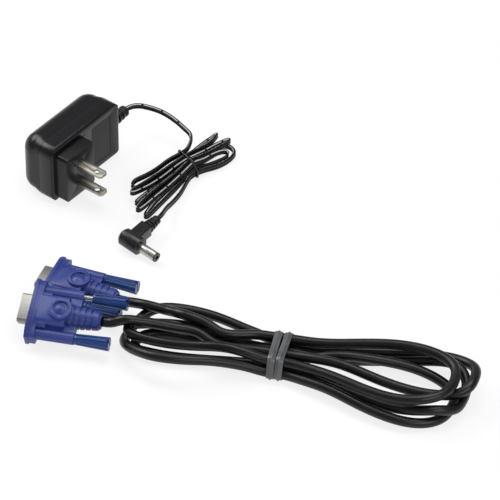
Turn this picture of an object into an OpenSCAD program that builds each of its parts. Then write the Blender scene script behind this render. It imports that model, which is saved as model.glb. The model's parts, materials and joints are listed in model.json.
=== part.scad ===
// A plug-in mains adapter with a tied DC lead, and a fifteen-way display cable with a moulded plug at each end.
// Millimetres, Z up. The origin is the centre of the adapter's base face, on the table.
// The two items lie apart on one table, as a set.

/* [Adapter case] */
// Long side of the case
case_l = 58; // [50:1:75]
// Depth of the case from the plug side to the back
case_d = 24; // [22:1:34]
// Height of the case
case_h = 37; // [34:1:50]
// Wall of both shells
case_wall = 2; // [1.5:0.1:2.6]
// Depth of the front shell, up to the seam
front_shell_d = 9; // [8:0.5:12]
// Rounding of the four long corners
case_corner_r = 6.5; // [3.5:0.5:7.5]
// Rounding of the back edges
case_back_r = 9; // [4:0.5:11]

/* [Mains plug] */
// Length of the raised block round the blades
boss_l = 23.5; // [20:0.5:28]
// Height of the raised block, as a share of the case's height
boss_share = 0.797; // [0.7:0.005:0.85]
// How far the raised block stands out
boss_out = 7; // [4:0.5:10]
// Width of a blade
blade_w = 6.35; // [6:0.05:6.5]
// Thickness of a blade
blade_t = 1.5; // [1.4:0.05:1.6]
// Length of a blade outside the block
blade_out = 17.2; // [15:0.1:18.5]
// Distance between the two blades
blade_pitch = 12.7; // [12.2:0.1:13.2]
// Hole through a blade
blade_hole_d = 3.2; // [2.8:0.1:3.4]

/* [DC lead and plug] */
// Thickness of the flat twin lead
dc_t = 1.8; // [1.6:0.1:1.9]
// Width of the flat twin lead
dc_w = 3.5; // [3:0.1:3.6]
// Diameter of the barrel
barrel_d = 5.5; // [4.8:0.1:6.3]
// Bore of the barrel
barrel_bore = 2.1; // [1.7:0.1:2.5]
// Length of the barrel outside the grip
barrel_out = 12; // [9:0.5:14]
// Diameter of the round head
head_d = 10; // [9:0.5:12]

/* [Display plugs] */
// Width of the moulded flange
hood_w = 35; // [33:0.5:40]
// Thickness of the moulded hood
hood_t = 14; // [13:0.5:17]
// Length of the flange
flange_l = 5.5; // [4.5:0.1:7]
// Length of the hood up to the ends of the screw tunnels
hood_l = 26.2; // [24:0.2:32]
// Length of the ribbed cable relief
boot_l = 18.2; // [14:0.2:22]
// Distance between the two thumb screws
screw_pitch = 24.99; // [24.6:0.01:25.4]
// Diameter of a thumb screw's shank
screw_d = 2.8; // [2.5:0.1:3]
// How far a thumb screw can be drawn back
screw_play = 4.7; // [3:0.1:6]
// Length of a thumb grip
grip_l = 19; // [14:0.5:26]
// Diameter of a thumb grip at its free end
grip_d = 7.6; // [7:0.1:8]
// Number of grooves round a thumb grip
grip_flutes = 12; // [8:1:20]

/* [Display cable] */
// Diameter of the display cable
cable_d = 5.5; // [5:0.1:5.6]

/* [Hidden] */
$fn = 48;
cut_over = 1;          // overrun of every cut
slip_gap = 0.15;       // clearance of pieces that slide into each other by hand
turn_gap = 0.3;        // clearance round a turning shank
spin_gap = 0.05;       // running clearance of a retaining ring on its shank

// Places on the table
adapter_turn = 51.3;
front_x = -16.7;
front_y = -133.05;
front_yaw = -12.67;
front_roll = 22;
front_lift = 2.1;       // it leans on the rear plug, held up by its cable
rear_x = -7.7;
rear_y = -102.5;
rear_yaw = -21.1;

// Adapter case
seam_y = front_shell_d - case_d / 2;
front_edge_r = 2;
lip_l = 1.5;
lip_t = case_wall / 2;
boss_inset = 4;
boss_h = boss_share * case_h;
boss_r = 2;
boss_drop_share = 0.0473;
boss_top = (case_h - boss_h) / 2 + boss_drop_share * case_h;
boss_x = boss_inset + boss_l / 2 - case_l / 2;
boss_z = case_h - boss_top - boss_h / 2;
boss_face_y = -case_d / 2 - boss_out;
label_l = 15.6;
label_h = 27;
label_t = 0.25;
label_recess = 0.35;
label_inset = 2;
label_x = case_l / 2 - case_corner_r - label_l / 2 - label_inset;

// Blades
blade_hole_at = 12;
blade_chamfer = 1.2;
plate_t = 2;
plate_y = -case_d / 2 + case_wall;
tail_w = 3;
tail_l = 3.5;

// Circuit board
board_t = 1.6;
board_y = plate_y + plate_t + tail_l - board_t;
board_gap = 1.7;
board_l = case_l - 2 * case_wall - 2 * board_gap;
board_h = case_h - 2 * case_wall - 2 * board_gap;
board_z = case_h / 2;
core_l = 16;
core_share = 0.42;
core_h = core_share * board_h;
core_d = 9;
core_leg = 3.2;
winding_d = 10;
can_d = 8;
can_share = 0.355;
can_l = can_share * board_h;
can_gap = 0.8;
out_can_d = 6.3;
out_can_l = 8;
small_gap = 1.2;
bridge_l = 7;
bridge_share = 0.19;
bridge_h = bridge_share * board_h;
bridge_d = 3;
fuse_d = 3.4;
fuse_l = 8;
chip_l = 7;
chip_share = 0.16;
chip_h = chip_share * board_h;
chip_d = 2.6;
tab_t = 0.6;
choke_share = 0.19;
choke_d = choke_share * board_h;
choke_l = 6;
choke_flange = 0.8;

// Relief on the adapter
out_x = case_l / 2;
out_y = seam_y;
out_z = 15.5;
out_root_d = 9;
out_end_d = 6.5;
out_l = 15;
out_ribs = 4;
out_neck = 2;
out_groove = 0.7;
out_plug_l = 3;

// DC plug
plug_x = 35.1;
plug_y = -67.2;
plug_z = 5.75;
plug_yaw = -40.5;
plug_tilt = 5;
head_l = 13;
head_dome = 1.5;
neck_l = 12.3;
neck_w = 7.5;
neck_t = 8.4;
relief_l = 9;
relief_root = 7.6;
relief_end = 5;
relief_ribs = 4;
relief_groove = 0.7;
barrel_in = 5;
barrel_root_step = 0.2;
barrel_root_d = barrel_d - 2 * barrel_root_step; // thinner where the grip is moulded on
barrel_root_l = 0.5;
ring_l = 1.6;
contact_t = 0.25;
contact_l = 9;

// Display plug pieces
flange_chamfer_w = 4.5;
flange_chamfer_t = 2.75;
hood_body_w = 17.5;
hood_edge_r = 2.8;
tunnel_d = 6.6;
web_t = 4;
tunnel_bore = screw_d + 2 * turn_gap;
clip_d = 4.6;
clip_t = 0.8;
clip_gap = 0.3;
chamber_d = clip_d + 2 * clip_gap;
chamber_at = flange_l + 6;
chamber_l = clip_t + screw_play + 2 * clip_gap;
tip_at = 0.8;
grip_gap = 0.3;
grip_root_d = 6;
grip_neck = 1.5;
slot_w = 1;
slot_deep = 1.2;
flute_w = 0.8;
flute_deep = 0.35;
ring_x = 16.75;
ring_d = 12.2;
ring_rise = 1.8;
ring_recess_d = 8.7;
ring_recess = 1;
dome_d = 6.5;
body_l = 20.3;
boot_root_d = 13.8;
boot_end_d = 10.4;
boot_grooves = 5;
boot_groove_w = 1.1;
boot_end_share = 0.7;      // the last rib, past the grooves' pitch
boot_groove_deep = 0.8;
boot_lip_r = 1.2;
flange_lip_l = 2;
flange_step = 0.5;
shell_t = 0.45;
plate_beside = 5.81;
plate_w = screw_pitch + plate_beside;
plate_h = 12.2;
dee_beside = 8.09;
dee_w = screw_pitch - dee_beside;
dee_h = 8.4;
dee_out = 6;
dee_r = 2.4;
dee_slope = 1.5;
pin_d = 0.76;
pin_out = 5.2;
pin_in = 1.2;
pin_pitch = 2.29;
row_pitch = 1.98;
insulator_l = 8;
back_beside = 5.49;
back_w = screw_pitch - back_beside;
back_h = 10.4;
back_l = 9;
back_cover = 0.8;

// Height of each display plug's axis over the table
rear_z = hood_t / 2;
front_z = front_lift + max(
    hood_w / 2 * sin(front_roll) + (hood_t / 2 - flange_chamfer_t) * cos(front_roll),
    (hood_w / 2 - flange_chamfer_w) * sin(front_roll) + hood_t / 2 * cos(front_roll)
);

// Cords: shared arithmetic. A free cord runs straight at both ends and as a spline between them.
function ease(t) = let (c = min(max(t, 0), 1)) c * c * (3 - 2 * c);
function turned(v, a) = [v[0] * cos(a) - v[1] * sin(a), v[0] * sin(a) + v[1] * cos(a)];
function unit(v) = v / norm(v);
function power_wave(c, p) = c > 0 ? pow(c, p) : -pow(-c, p);
function spline(p0, p1, p2, p3, t) =
    (2 * p1 + (p2 - p0) * t + (2 * p0 - 5 * p1 + 4 * p2 - p3) * t * t
     + (3 * p1 - p0 - 3 * p2 + p3) * t * t * t) / 2;
function along(points, steps) = let (n = len(points) - 1) concat(
    [points[0]],
    [for (i = [1 : n - 2]) for (k = [0 : steps - 1])
        spline(points[i - 1], points[i], points[i + 1], points[i + 2], k / steps)],
    [points[n - 1], points[n]]);
function tangent(p, i) = let (n = len(p) - 1)
    i == 0 ? unit(p[1] - p[0]) : i == n ? unit(p[n] - p[n - 1])
    : unit(unit(p[i + 1] - p[i]) + unit(p[i] - p[i - 1]));
function length_of(p) = let (d = [for (i = [1 : len(p) - 1]) norm(p[i] - p[i - 1])]) d * [for (x = d) 1];

// One ring of a tube: wide axis upright, flat side down
function ring(p, i, across, upright, sides) = let (
        t = tangent(p, i),
        side = unit(cross(t, [0, 0, 1])),
        up = cross(side, t))
    [for (k = [0 : sides - 1]) let (a = 360 * (k + (sides % 4 == 0 ? 0.5 : 0)) / sides)
        p[i] + side * across / 2 * cos(a) + up * upright / 2 * sin(a)];
module tube(p, across, upright, sides) {
    n = len(p);
    points = [for (i = [0 : n - 1]) each ring(p, i, across, upright, sides)];
    sleeve = [for (i = [0 : n - 2]) for (k = [0 : sides - 1]) let (
            a = i * sides + k,
            b = i * sides + (k + 1) % sides)
        each [[a, b, b + sides], [a, b + sides, a + sides]]];
    first = [for (k = [1 : sides - 2]) [0, k + 1, k]];
    last = [for (k = [1 : sides - 2]) [0, k, k + 1] + (n - 1) * sides * [1, 1, 1]];
    polyhedron(points = points, faces = concat(sleeve, first, last));
}

// Ties
tie_t = 1;
tie_under = 0.3;
tie_beside = 0.8;
tie_w = 4.2;
tie_apart = 1;
dc_tie_d = 1.1;
dc_tie_under = 0.2;
dc_tie_beside = 0.5;

// Display cable: waist under the tie, its slots and its seven folds
waist_x = 115.3;
waist_y = -159.7;
waist_turn = -12;
waist_apart = 0.7;
waist_over = 0.3;
waist_pitch = cable_d + waist_apart;
waist_rise = cable_d + waist_over;
waist_low = cable_d / 2 + tie_t + tie_under;
// row and place of each of the eight runs
waist_slots = [[1, 1], [1, -2], [0, 1], [0, -1], [0, 0], [0, -2], [0, 2], [1, -1]];
// reach, middle, half width of the first and second run, tilt, gather
fold_sizes = [
    [96.2, -7.2, 25.2, 28.7, -14.5, 0.98],
    [82.5, 0.8, 6.9, 13.7, -9.1, 0.66],
    [102, 2, 35, 31.4, -21.6, 1.25],
    [78.2, -2.3, 11.4, 19.8, -10.2, 1.24],
    [97.1, -1.6, 22.1, 31.9, -20.3, 1.03],
    [82.2, -11.5, 30.3, 30.3, -24, 0.76],
    [105.5, 3.7, 31.1, 18.1, -18.6, 1.17]
];
// height of the middle of the cable every thirty degrees of a fold
fold_heights = [
    [9.1, 15, 16.9, 17, 17, 14.5, 12.2],
    [17.1, 10.8, 11.1, 12.1, 9.7, 7.8, 2.1],
    [2.8, 6, 12.2, 6.3, 10.9, 5.6, 2.8],
    [3.8, 4.3, 4.9, 2.8, 3, 3.1, 5.2],
    [13.6, 9, 3.8, 2.8, 3.4, 5.9, 7.9],
    [10.3, 15.6, 9.6, 2.8, 6.4, 4.5, 2.9],
    [2.8, 6.4, 10.4, 14.9, 11.1, 10.7, 17]
];
fold_power = 0.7;
settle_share = 0.4;
function slot_of(run) = let (s = waist_slots[run])
    [s[1] * waist_pitch + s[0] * waist_pitch / 2, waist_low + s[0] * waist_rise];
function height_at(table, a) = let (n = len(table) - 1, x = a * n / 180, i = min(floor(x), n - 1))
    spline(table[max(i - 1, 0)], table[i], table[i + 1], table[min(i + 2, n)], x - i);
function fold_point(j, a) = let (
        f = fold_sizes[j],
        s = pow(max(sin(a), 0), fold_power),
        w = power_wave(cos(a), fold_power),
        b = ease(s / f[5]),
        bz = ease(s / settle_share),
        slot = slot_of(a <= 90 ? j : j + 1),
        side = j % 2 == 0 ? 1 : -1,
        lobe = turned([side * f[0] * s, b * (f[1] + side * (a <= 90 ? f[2] : f[3]) * w)], f[4]),
        gathered = turned([0, (1 - b) * slot[0]], waist_turn))
    [waist_x + lobe[0] + gathered[0], waist_y + lobe[1] + gathered[1],
     (1 - bz) * slot[1] + bz * height_at(fold_heights[j], a)];
function slot_point(run, beside) = let (
        slot = slot_of(run),
        v = turned([beside, slot[0]], waist_turn))
    [waist_x + v[0], waist_y + v[1], slot[1]];
hank_out = 9;
// each run lies straight in its slot over this distance to either side of the waist
hold_out = 5;
function hank_points(n) = concat(
    [slot_point(0, -hank_out)],
    [for (j = [0 : 6]) each concat(
        [slot_point(j, (j % 2 == 0 ? 1 : -1) * hold_out)],
        [for (k = [1 : n - 1]) fold_point(j, 180 * k / n)],
        [slot_point(j + 1, (j % 2 == 0 ? 1 : -1) * hold_out)])],
    [slot_point(7, -hank_out)]);
fold_rings = 12;

// Display cable: leads from the plugs to the waist
boot_end = body_l + boot_l;
function in_front(x) = let (v = turned([x, 0], front_yaw)) [front_x + v[0], front_y + v[1], front_z];
function in_rear(x) = let (v = turned([x, 0], rear_yaw)) [rear_x + v[0], rear_y + v[1], rear_z];
front_lead_route = concat(
    [in_front(boot_end), in_front(boot_end + cable_d)],
    [[32.6, -144.9, 18], [44.7, -144.2, 15.5], [57.9, -144.5, 12.5], [71.6, -145.8, 10.1], [82.6, -154.2, 8.4]],
    [slot_point(7, -hank_out - cable_d), slot_point(7, -hank_out)]);
rear_lead_route = concat(
    [in_rear(boot_end), in_rear(boot_end + cable_d)],
    [[42.9, -125.4, 11.4], [55.5, -129.4, 10.6], [63.8, -136.6, 14.3], [75.6, -141.5, 13], [86.1, -149.4, 11.7]],
    [slot_point(0, -hank_out - cable_d), slot_point(0, -hank_out)]);

// DC lead: waist under the wire tie, its eleven runs and ten folds
dc_waist_x = 65.3;
dc_waist_y = -1.1;
dc_turn = 42.9;
dc_apart = 0.6;
dc_over = 0.5;
dc_middle_place = 3.5;
dc_pitch = dc_t + dc_apart;
dc_rise = dc_w + dc_over;
dc_low = dc_w / 2 + dc_tie_d + dc_tie_under;
// layer and place of each run, counted from the far side
dc_runs = [[1, 0.5], [0, 1], [1, 2], [1, 3], [1, 4], [1, 5], [0, 5], [0, 4], [0, 3], [0, 2], [0, 6.6]];
// reach, middle, half width, tilt, first layer, second layer, side of the first run
dc_folds = [
    [35.5, 0, 2, -13, 1, 0, 1],
    [30, 2.4, 3.4, 12, 0, 1, 1],
    [41, 0, 2, -3, 1, 1, 1],
    [30.5, 0.6, 1.7, -4, 1, 1, 1],
    [49.5, 0, 2, 13, 1, 1, 1],
    [24, -1.95, 1.6, -13.5, 1, 0, 1],
    [48, 0, 2, 18, 0, 0, -1],
    [23, 0.8, 1.6, -2.5, 0, 0, -1],
    [42, 0, 2, 4, 0, 0, -1],
    [29.5, -0.7, 8.6, -7, 0, 0, 1]
];
dc_gather_share = 0.8;
dc_settle_share = 0.5;
function dc_slot(run) = let (r = dc_runs[run])
    [(dc_middle_place - r[1]) * dc_pitch, dc_low + r[0] * dc_rise];
function dc_fold_point(j, a) = let (
        f = dc_folds[j],
        s = pow(max(sin(a), 0), fold_power),
        w = power_wave(cos(a), fold_power),
        b = ease(s / dc_gather_share),
        bz = ease(s / dc_settle_share),
        slot = dc_slot(a <= 90 ? j : j + 1),
        side = j % 2 == 0 ? -1 : 1,
        level = dc_w / 2 + dc_rise * (f[4] + (f[5] - f[4]) * ease((a - 60) / 60)),
        lobe = turned([side * f[0] * s, b * (f[1] + f[6] * f[2] * w)], dc_turn + f[3]),
        gathered = turned([0, (1 - b) * slot[0]], dc_turn))
    [dc_waist_x + lobe[0] + gathered[0], dc_waist_y + lobe[1] + gathered[1],
     (1 - bz) * slot[1] + bz * level];
function dc_slot_point(run, beside) = let (
        slot = dc_slot(run),
        v = turned([beside, slot[0]], dc_turn))
    [dc_waist_x + v[0], dc_waist_y + v[1], slot[1]];
dc_hank_out = 2;
function dc_hank_points(n) = concat(
    [dc_slot_point(0, dc_hank_out)],
    [for (j = [0 : 9]) for (k = [0 : n - 1]) dc_fold_point(j, 180 * k / n)],
    [dc_fold_point(9, 180), dc_slot_point(10, -dc_hank_out)]);

// DC lead: the arc from the adapter and the tail to the plug
function on_adapter(x, y, z) = let (v = turned([x, y], adapter_turn)) [v[0], v[1], z];
function on_plug(y) = [
    plug_x - y * cos(plug_tilt) * sin(plug_yaw),
    plug_y + y * cos(plug_tilt) * cos(plug_yaw),
    plug_z + y * sin(plug_tilt)];
dc_lead_route = concat(
    [on_adapter(out_x + out_l, out_y, out_z), on_adapter(out_x + out_l + dc_w, out_y, out_z)],
    [[37.5, 36, 16], [44, 34, 16], [50.5, 31, 15.5], [57, 26, 14.5], [62.5, 20.5, 13], [67, 15.5, 10.5]],
    [dc_slot_point(0, dc_hank_out + dc_w), dc_slot_point(0, dc_hank_out)]);
dc_tail_route = concat(
    [dc_slot_point(10, -dc_hank_out), dc_slot_point(10, -dc_hank_out - dc_w)],
    [[64.5, -14.5, 2.6], [61, -24, 2.5], [57, -32.5, 3.5], [53.6, -40, 5.5]],
    [on_plug(neck_l + relief_l + dc_w), on_plug(neck_l + relief_l)]);

// Inside sizes of the ties
tie_in_w = 4 * waist_pitch + cable_d + 2 * tie_beside;
tie_in_h = waist_rise + cable_d + 2 * tie_under;
dc_tie_in_w = dc_slot(0)[0] - dc_slot(10)[0] + dc_t + 2 * dc_tie_beside;
dc_tie_in_h = dc_rise + dc_w + 2 * dc_tie_under;
dc_tie_middle = (dc_slot(0)[0] + dc_slot(10)[0]) / 2;

// Least clear space of each hank to itself, measured on points
function hank_gap(p, apart) = min([for (i = [0 : len(p) - 1 - apart]) for (k = [i + apart : len(p) - 1])
    norm(p[i] - p[k])]) - cable_d;
function dc_hank_gap(p, apart) = min([for (i = [0 : len(p) - 1 - apart]) for (k = [i + apart : len(p) - 1])
    max(norm([p[i][0] - p[k][0], p[i][1] - p[k][1]]) - dc_t, abs(p[i][2] - p[k][2]) - dc_w)]);

// Colours for viewing
c_black = [0.1, 0.1, 0.11];
c_label = [0.16, 0.16, 0.17];
c_metal = [0.75, 0.75, 0.72];
c_board = [0.72, 0.58, 0.32];
c_copper = [0.7, 0.4, 0.2];
c_core = [0.2, 0.2, 0.21];
c_hood = [0.17, 0.24, 0.52];
c_grip = [0.14, 0.27, 0.55];
c_tie = [0.45, 0.46, 0.47];
c_blue = [0.2, 0.3, 0.55];

// Shared outlines
module round_box(w, h, r) {
    square([w - 2 * r, h], center = true);
    square([w, h - 2 * r], center = true);
    for (sx = [-1, 1]) for (sy = [-1, 1])
        translate([sx * (w / 2 - r), sy * (h / 2 - r)]) circle(r);
}
module two_radius_box(w, d, front_r, back_r) {
    intersection() {
        square([w, d], center = true);
        union() {
            translate([0, front_r]) round_box(w, d + 2 * front_r, front_r);
            translate([-w / 2, 0]) square([w, d / 2 - back_r]);
        }
        union() {
            translate([0, -back_r]) round_box(w, d + 2 * back_r, back_r);
            translate([-w / 2, front_r - d / 2]) square([w, d / 2 - front_r]);
        }
        union() {
            round_box(w, d, back_r);
            translate([0, -d / 4]) square([w, d / 2], center = true);
        }
        union() {
            round_box(w, d, front_r);
            translate([0, d / 4]) square([w, d / 2], center = true);
        }
    }
}
module case_form(inset) {
    l = case_l - 2 * inset;
    d = case_d - 2 * inset;
    h = case_h - 2 * inset;
    fr = max(front_edge_r - inset, case_wall / 4);
    br = case_back_r - inset;
    cr = case_corner_r - inset;
    translate([0, 0, case_h / 2]) intersection() {
        rotate([90, 0, 0]) linear_extrude(d, center = true) round_box(l, h, cr);
        linear_extrude(h, center = true) two_radius_box(l, d, fr, br);
        rotate([90, 0, 90]) linear_extrude(l, center = true) two_radius_side(d, h, fr, br);
    }
}
module two_radius_side(d, h, front_r, back_r) {
    rotate(-90) two_radius_box(h, d, front_r, back_r);
}
module behind(y) {
    translate([-case_l, y, -case_h]) cube([2 * case_l, 2 * case_d, 3 * case_h]);
}
module before(y) {
    translate([-case_l, y - 2 * case_d, -case_h]) cube([2 * case_l, 2 * case_d, 3 * case_h]);
}
module at_adapter() {
    rotate([0, 0, adapter_turn]) children();
}

// Adapter
module outlet_hole() {
    translate([out_x - 2 * case_wall, out_y, out_z]) rotate([0, 90, 0])
        cylinder(d = out_end_d, h = 4 * case_wall);
}
module adapter_rear_shell() {
    color(c_black) at_adapter() difference() {
        intersection() {
            case_form(0);
            behind(seam_y);
        }
        case_form(case_wall);
        outlet_hole();
    }
}
module adapter_front_shell() {
    color(c_black) at_adapter() difference() {
        union() {
            intersection() {
                case_form(0);
                before(seam_y);
            }
            intersection() {
                case_form(case_wall + slip_gap);
                before(seam_y + lip_l);
                behind(seam_y - lip_l);
            }
            boss_block(0, boss_out);
        }
        difference() {
            case_form(case_wall + slip_gap + lip_t);
            before(plate_y);
        }
        intersection() {
            case_form(case_wall);
            behind(plate_y);
            before(seam_y - lip_l);
        }
        boss_block(case_wall, boss_out - case_wall);
        for (s = [-1, 1]) translate([boss_x, boss_face_y, boss_z + s * blade_pitch / 2])
            cube([blade_w, 4 * case_wall, blade_t], center = true);
        outlet_hole();
        relief_room();
        label_room();
    }
}
module boss_block(inset, out) {
    translate([boss_x, case_wall - case_d / 2, boss_z]) rotate([90, 0, 0])
        linear_extrude(out + case_wall) round_box(boss_l - 2 * inset, boss_h - 2 * inset, boss_r - inset / 2);
}
module label_room() {
    translate([label_x, label_recess - case_d / 2, case_h / 2]) rotate([90, 0, 0])
        linear_extrude(cut_over) round_box(label_l, label_h, front_edge_r / 2);
}
// Room in the lip for the flange of the cable relief
module relief_room() {
    translate([out_x - out_plug_l - slip_gap, out_y, out_z]) rotate([0, 90, 0])
        cylinder(d = out_root_d + 2 * slip_gap, h = out_plug_l + slip_gap - case_wall);
}
module rating_label() {
    color(c_label) at_adapter() translate([label_x, label_recess - case_d / 2, case_h / 2]) rotate([90, 0, 0])
        linear_extrude(label_t) round_box(label_l - slip_gap, label_h - slip_gap, front_edge_r / 2 - slip_gap);
}
module mains_blades() {
    color(c_metal) at_adapter() for (s = [-1, 1]) translate([boss_x, 0, boss_z + s * blade_pitch / 2])
        one_blade();
}
module one_blade() {
    tip = boss_face_y - blade_out;
    foot = plate_y + plate_t;
    difference() {
        union() {
            linear_extrude(blade_t, center = true) polygon([
                [-blade_w / 2, foot],
                [-blade_w / 2, tip + blade_chamfer],
                [blade_chamfer - blade_w / 2, tip],
                [blade_w / 2 - blade_chamfer, tip],
                [blade_w / 2, tip + blade_chamfer],
                [blade_w / 2, foot]
            ]);
            translate([-tail_w / 2, foot - cut_over, -blade_t / 2]) cube([tail_w, cut_over + tail_l, blade_t]);
        }
        translate([0, boss_face_y - blade_hole_at, 0]) cylinder(d = blade_hole_d, h = 2 * blade_t, center = true);
    }
}
module blade_retainer() {
    color(c_core) at_adapter() difference() {
        translate([boss_x, plate_y + plate_t / 2, boss_z])
            cube([boss_l - 2 * case_wall, plate_t, boss_h - 2 * case_wall], center = true);
        for (s = [-1, 1]) translate([boss_x, plate_y, boss_z + s * blade_pitch / 2])
            cube([blade_w, 4 * plate_t, blade_t], center = true);
    }
}
module circuit_board() {
    color(c_board) at_adapter() difference() {
        translate([0, board_y + board_t / 2, board_z]) cube([board_l, board_t, board_h], center = true);
        for (s = [-1, 1]) translate([boss_x, board_y, boss_z + s * blade_pitch / 2])
            cube([tail_w, 4 * board_t, blade_t], center = true);
        translate([board_l / 2, board_y, out_z]) cube([out_root_d, 4 * board_t, out_root_d], center = true);
    }
}
board_back = board_y + board_t;
core_beside = 5;
core_x = core_beside;
module on_board(x, z) {
    at_adapter() translate([x, board_back, z]) children();
}
module transformer_core() {
    color(c_core) on_board(core_x, board_z) difference() {
        translate([0, core_d / 2, 0]) cube([core_l, core_d, core_h], center = true);
        for (s = [-1, 1]) translate([s * (core_l / 2 - core_leg - (core_l - 3 * core_leg) / 4), core_d / 2, 0])
            cube([(core_l - 3 * core_leg) / 2, 2 * core_d, core_h - 2 * core_leg], center = true);
    }
}
module transformer_winding() {
    color(c_copper) on_board(core_x, board_z) difference() {
        translate([0, core_d / 2, 0])
            cube([core_leg + core_l - 3 * core_leg, winding_d, core_h - 2 * core_leg], center = true);
        translate([0, core_d / 2, 0]) cube([core_leg, core_d, core_h], center = true);
        translate([0, -winding_d / 2, 0]) cube([core_l, winding_d, core_h], center = true);
    }
}
can_x = core_x - core_l / 2 - can_gap - can_d / 2;
module input_capacitors() {
    color(c_black) for (k = [0, 1]) on_board(can_x - k * (can_d + can_gap), board_z - can_l / 2)
        translate([0, can_d / 2, 0]) cylinder(d = can_d, h = can_l);
}
module output_capacitor() {
    color(c_black) on_board(core_x + core_l / 2 + can_gap + out_can_d / 2, board_z + board_h / 2 - out_can_l - small_gap)
        translate([0, out_can_d / 2, 0]) cylinder(d = out_can_d, h = out_can_l);
}
low_row = board_z - board_h / 2 + small_gap;
module rectifier_bridge() {
    color(c_core) on_board(can_x - can_d / 2, low_row) translate([-bridge_l / 2, 0, 0])
        cube([bridge_l, bridge_d, bridge_h]);
}
module fusible_resistor() {
    color(c_tie) on_board(can_x - can_d, board_z + can_l / 2 + small_gap + fuse_d / 2)
        translate([-fuse_l / 2, fuse_d / 2, 0]) rotate([0, 90, 0]) cylinder(d = fuse_d, h = fuse_l);
}
module switching_transistor() {
    color(c_core) on_board(core_x, low_row) {
        translate([-chip_l / 2, 0, 0]) cube([chip_l, chip_d, chip_h]);
        translate([-chip_l / 2, chip_d, 0]) cube([chip_l, tab_t, chip_h + small_gap]);
    }
}
module choke() {
    color(c_copper) on_board(core_x, board_z + core_h / 2 + small_gap + choke_d / 2) rotate([-90, 0, 0]) {
        cylinder(d = choke_d, h = choke_flange);
        cylinder(d = choke_d - 2 * choke_flange, h = choke_l);
        translate([0, 0, choke_l - choke_flange]) cylinder(d = choke_d, h = choke_flange);
    }
}
module lead_strain_relief() {
    pitch = (out_l - out_neck) / out_ribs;
    color(c_black) at_adapter() translate([out_x, out_y, out_z]) rotate([0, 90, 0]) difference() {
        union() {
            cylinder(d1 = out_root_d, d2 = out_end_d, h = out_l);
            translate([0, 0, -out_plug_l]) cylinder(d = out_end_d - 2 * slip_gap, h = out_plug_l + cut_over);
            translate([0, 0, -out_plug_l]) cylinder(d = out_root_d, h = out_plug_l - case_wall - slip_gap);
        }
        for (k = [0 : out_ribs - 1]) translate([0, 0, out_neck + k * pitch]) difference() {
            cylinder(d = 2 * out_root_d, h = pitch / 2);
            translate([0, 0, -cut_over]) cylinder(d = out_end_d - 2 * out_groove, h = pitch + 2 * cut_over);
        }
    }
}

// DC lead
module dc_lead() {
    color(c_black) tube(along(dc_lead_route, 3), dc_t, dc_w, 8);
}
module dc_hank() {
    color(c_black) tube(dc_hank_points(fold_rings), dc_t, dc_w, 6);
}
module dc_lead_tail() {
    color(c_black) tube(along(dc_tail_route, 3), dc_t, dc_w, 8);
}
module dc_tie() {
    color(c_black) translate([dc_waist_x, dc_waist_y, 0]) rotate([0, 0, dc_turn])
        translate([0, dc_tie_middle, 0]) band(dc_tie_in_w, dc_tie_in_h, dc_tie_d, dc_tie_d, dc_w / 2);
}
// A flat loop round a waist, standing on the table
module band(in_w, in_h, t, w, r) {
    translate([0, 0, t + in_h / 2]) rotate([90, 0, 90]) linear_extrude(w, center = true) difference() {
        round_box(in_w + 2 * t, in_h + 2 * t, r + t);
        round_box(in_w, in_h, r);
    }
}

// DC plug, lying on the table
module at_dc_plug() {
    translate([plug_x, plug_y, plug_z]) rotate([plug_tilt, plug_tilt, plug_yaw]) children();
}
module dc_plug_grip() {
    pitch = relief_l / relief_ribs;
    color(c_black) at_dc_plug() difference() {
        union() {
            translate([-head_l / 2, 0, 0]) rotate([0, 90, 0]) {
                cylinder(d1 = head_d - 2 * head_dome, d2 = head_d, h = head_dome);
                translate([0, 0, head_dome]) cylinder(d = head_d, h = head_l - head_dome);
            }
            rotate([-90, 0, 0]) linear_extrude(neck_l) round_box(neck_w, neck_t, head_dome);
            translate([0, neck_l, 0]) rotate([-90, 0, 0]) difference() {
                cylinder(d1 = relief_root, d2 = relief_end, h = relief_l);
                for (k = [0 : relief_ribs - 1]) translate([0, 0, k * pitch]) difference() {
                    cylinder(d = 2 * relief_root, h = pitch / 2);
                    translate([0, 0, -cut_over])
                        cylinder(d = relief_end - relief_groove, h = pitch + 2 * cut_over);
                }
            }
        }
        translate([head_l / 2 - barrel_in, 0, 0]) rotate([0, 90, 0]) cylinder(d = barrel_root_d, h = head_l);
    }
}
module dc_plug_barrel() {
    color(c_metal) at_dc_plug() translate([head_l / 2 - barrel_in, 0, 0]) rotate([0, 90, 0]) difference() {
        union() {
            cylinder(d = barrel_root_d, h = barrel_in + barrel_root_l);
            translate([0, 0, barrel_in + barrel_root_l])
                cylinder(d = barrel_d, h = barrel_out - barrel_root_l - ring_l / 2);
        }
        translate([0, 0, -cut_over])
            cylinder(d = barrel_bore + 2 * ring_l / 2 + 2 * contact_t, h = barrel_in + barrel_out + 2 * cut_over);
    }
}
module dc_plug_insulator() {
    whole = barrel_in + barrel_out;
    sleeve_d = barrel_bore + 2 * ring_l / 2 + 2 * contact_t;
    color(c_core) at_dc_plug() translate([head_l / 2 - barrel_in, 0, 0]) rotate([0, 90, 0]) difference() {
        union() {
            cylinder(d = sleeve_d, h = whole);
            translate([0, 0, whole - ring_l / 2]) cylinder(d = barrel_d, h = ring_l / 2);
        }
        translate([0, 0, ring_l]) cylinder(d = barrel_bore + 2 * contact_t, h = whole);
    }
}
module dc_plug_contact() {
    color(c_metal) at_dc_plug() translate([head_l / 2 - barrel_in + ring_l, 0, 0]) rotate([0, 90, 0]) difference() {
        cylinder(d = barrel_bore + 2 * contact_t, h = contact_l);
        translate([0, 0, contact_t]) cylinder(d = barrel_bore, h = contact_l);
    }
}

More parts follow.
